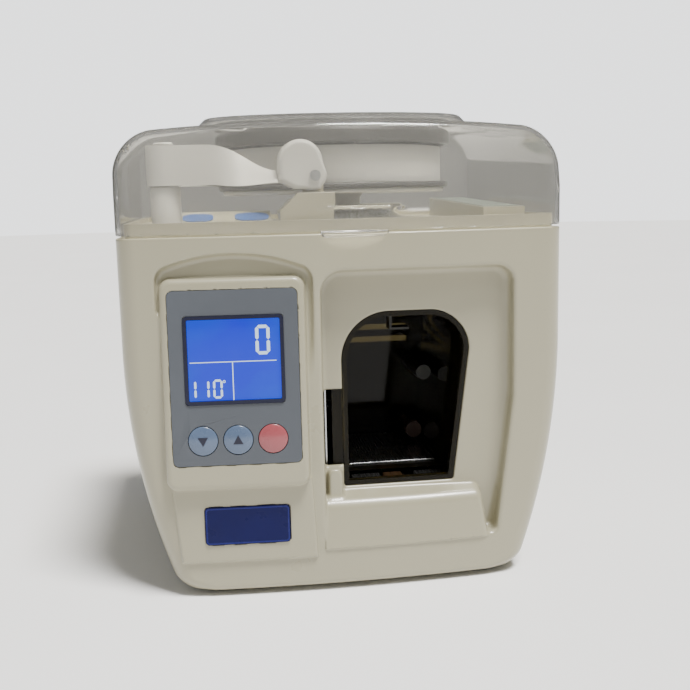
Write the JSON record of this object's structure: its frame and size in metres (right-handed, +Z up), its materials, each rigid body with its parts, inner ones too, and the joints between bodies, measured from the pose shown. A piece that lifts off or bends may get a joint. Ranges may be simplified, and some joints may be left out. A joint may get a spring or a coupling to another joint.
{
  "type": "banknote strapping machine",
  "caption": "Tabletop machine that wraps a paper strap round a stack of banknotes, with a display, buttons, a note mouth and a strap reel under a clear cover.",
  "frame": {"origin": "middle of the bounding box, on the surface that the feet stand on", "axes": "+Z up, the front with the display and the note mouth faces -Y, +X is to the right seen from the front"},
  "size_m": [0.235, 0.2092, 0.259],
  "materials": {
    "case_cream": "warm ivory, glossy moulded housing",
    "base_steel": "zinc-coloured plate",
    "foot_rubber": "black rubber",
    "label_blue": "blank blue label film",
    "clear_plastic": "clear, slightly smoky moulded plastic",
    "steel": "bright steel",
    "overlay_grey": "grey overlay film",
    "display_black": "black window frame",
    "display_blue": "blue backlit display",
    "button_blue": "domed blue-grey key",
    "button_red": "domed red key",
    "board_green": "green circuit board",
    "navy": "dark blue plate with nothing on it",
    "smoked_plastic": "smoked amber plastic",
    "knob_brown": "brown",
    "white_plastic": "white moulded plastic",
    "dark_plastic": "dark grey moulded plastic",
    "strap_paper": "white paper strap with a soft sheen",
    "motor_steel": "drawn motor can",
    "roller_rubber": "dark rubber tread",
    "gear_brass": "brass",
    "heater_brass": "heat-tinted brass",
    "blade_steel": "hardened bright steel",
    "transformer": "varnished core and winding",
    "fitting_black": "black fitting"
  },
  "bodies": {
    "case": {"front_shell": "case_cream", "rear_shell": "case_cream", "base_plate": "base_steel", "rubber_feet": "foot_rubber", "top_deck": "case_cream", "deck_labels": "label_blue", "hinge_pins": "steel", "control_overlay": "overlay_grey", "display_frame": "display_black", "display_module": "display_blue", "control_board": "board_green", "name_plate": "navy", "strap_arch": "smoked_plastic", "note_chamber": "smoked_plastic", "note_table": "steel", "note_bracket": "steel", "guide_pin": "steel", "guide_knob": "knob_brown", "reel_spindle": "steel", "reel_tray": "white_plastic", "guide_post": "white_plastic", "lever_bracket": "case_cream", "lever_screw": "steel", "strap_web": "strap_paper", "strap_feed": "strap_paper", "feed_motor": "motor_steel", "feed_bracket": "steel", "strap_chute": "steel", "drive_motor": "motor_steel", "mechanism_frame": "steel", "return_springs": "blade_steel", "clamp_bracket": "steel", "power_board": "board_green", "transformer": "transformer", "power_inlet": "fitting_black", "inlet_pins": "gear_brass", "switch_housing": "fitting_black", "fuse_holder": "fitting_black", "case_screws": "blade_steel"},
    "cover": {"clear_cover": "clear_plastic"},
    "reel": {"reel_flange": "dark_plastic", "strap_roll": "strap_paper", "reel_cap": "dark_plastic"},
    "guide_roller": {"guide_roller": "white_plastic"},
    "guide_lever": {"guide_lever": "white_plastic"},
    "button_down": {"button_down": "button_blue"},
    "button_up": {"button_up": "button_blue"},
    "button_clear": {"button_clear": "button_red"},
    "feed_roller": {"feed_roller": "roller_rubber"},
    "pinch_roller": {"pinch_roller": "roller_rubber"},
    "cam_shaft": {"cam_shaft": "steel"},
    "motor_pinion": {"motor_pinion": "gear_brass"},
    "left_gripper": {"left_gripper": "steel"},
    "press_head": {"press_head": "steel", "heater_plate": "heater_brass", "cutter_blade": "blade_steel"},
    "right_gripper": {"right_gripper": "steel"},
    "clamp_plate": {"clamp_plate": "steel"},
    "power_rocker": {"power_rocker": "fitting_black"}
  },
  "joints": [
    {"name": "cover_hinge", "type": "hinge", "parent": "case", "child": "cover", "pos_m": [0, 0.09913, 0.195], "axis": [-1, 0, 0], "range_deg": [0, 95]},
    {"name": "reel_spin", "type": "hinge", "parent": "case", "child": "reel", "pos_m": [0.0055, 0.00063, 0.2162], "axis": [0, 0, 1], "continuous": true},
    {"name": "guide_roller_spin", "type": "hinge", "parent": "case", "child": "guide_roller", "pos_m": [-0.0915, -0.07237, 0.2159], "axis": [0, 0, 1], "continuous": true},
    {"name": "lever_pivot", "type": "hinge", "parent": "case", "child": "guide_lever", "pos_m": [-0.0155, -0.08737, 0.2197], "axis": [0, 1, 0], "range_deg": [0, 12], "deforming": ["strap_web"]},
    {"name": "press_down", "type": "slide", "parent": "case", "child": "button_down", "axis": [0.0662, 0.9959, -0.061], "range_m": [0, 0.0012], "stiffness_N_per_m": 400},
    {"name": "press_up", "type": "slide", "parent": "case", "child": "button_up", "axis": [0.0662, 0.9959, -0.061], "range_m": [0, 0.0012], "stiffness_N_per_m": 400},
    {"name": "press_clear", "type": "slide", "parent": "case", "child": "button_clear", "axis": [0.0662, 0.9959, -0.061], "range_m": [0, 0.0012], "stiffness_N_per_m": 400},
    {"name": "feed_spin", "type": "hinge", "parent": "case", "child": "feed_roller", "pos_m": [-0.02365, -0.06737, 0.163], "axis": [0, 1, 0], "continuous": true},
    {"name": "pinch_spin", "type": "hinge", "parent": "case", "child": "pinch_roller", "pos_m": [-0.00685, -0.06737, 0.163], "axis": [0, 1, 0], "continuous": true},
    {"name": "cam_spin", "type": "hinge", "parent": "case", "child": "cam_shaft", "pos_m": [0, -0.06737, 0.0235], "axis": [1, 0, 0], "continuous": true},
    {"name": "pinion_spin", "type": "hinge", "parent": "case", "child": "motor_pinion", "pos_m": [-0.03905, -0.04812, 0.0235], "axis": [1, 0, 0], "continuous": true},
    {"name": "left_grip_lift", "type": "slide", "parent": "case", "child": "left_gripper", "axis": [0, 0, 1], "range_m": [0, 0.0035], "stiffness_N_per_m": 150, "springref_m": -0.004},
    {"name": "press_lift", "type": "slide", "parent": "case", "child": "press_head", "axis": [0, 0, 1], "range_m": [0, 0.0035], "stiffness_N_per_m": 150, "springref_m": -0.004},
    {"name": "right_grip_lift", "type": "slide", "parent": "case", "child": "right_gripper", "axis": [0, 0, 1], "range_m": [0, 0.0035], "stiffness_N_per_m": 150, "springref_m": -0.004},
    {"name": "clamp_slide", "type": "slide", "parent": "case", "child": "clamp_plate", "axis": [1, 0, 0], "range_m": [0, 0.025]},
    {"name": "rocker_turn", "type": "hinge", "parent": "case", "child": "power_rocker", "pos_m": [0.014, 0.09763, 0.037], "axis": [0, 0, 1], "range_deg": [0, 16]}
  ],
  "couplings": [
    {"joint": "pinch_spin", "follows": "feed_spin", "ratio": -1.5},
    {"joint": "pinion_spin", "follows": "cam_spin", "ratio": -2.8}
  ]
}
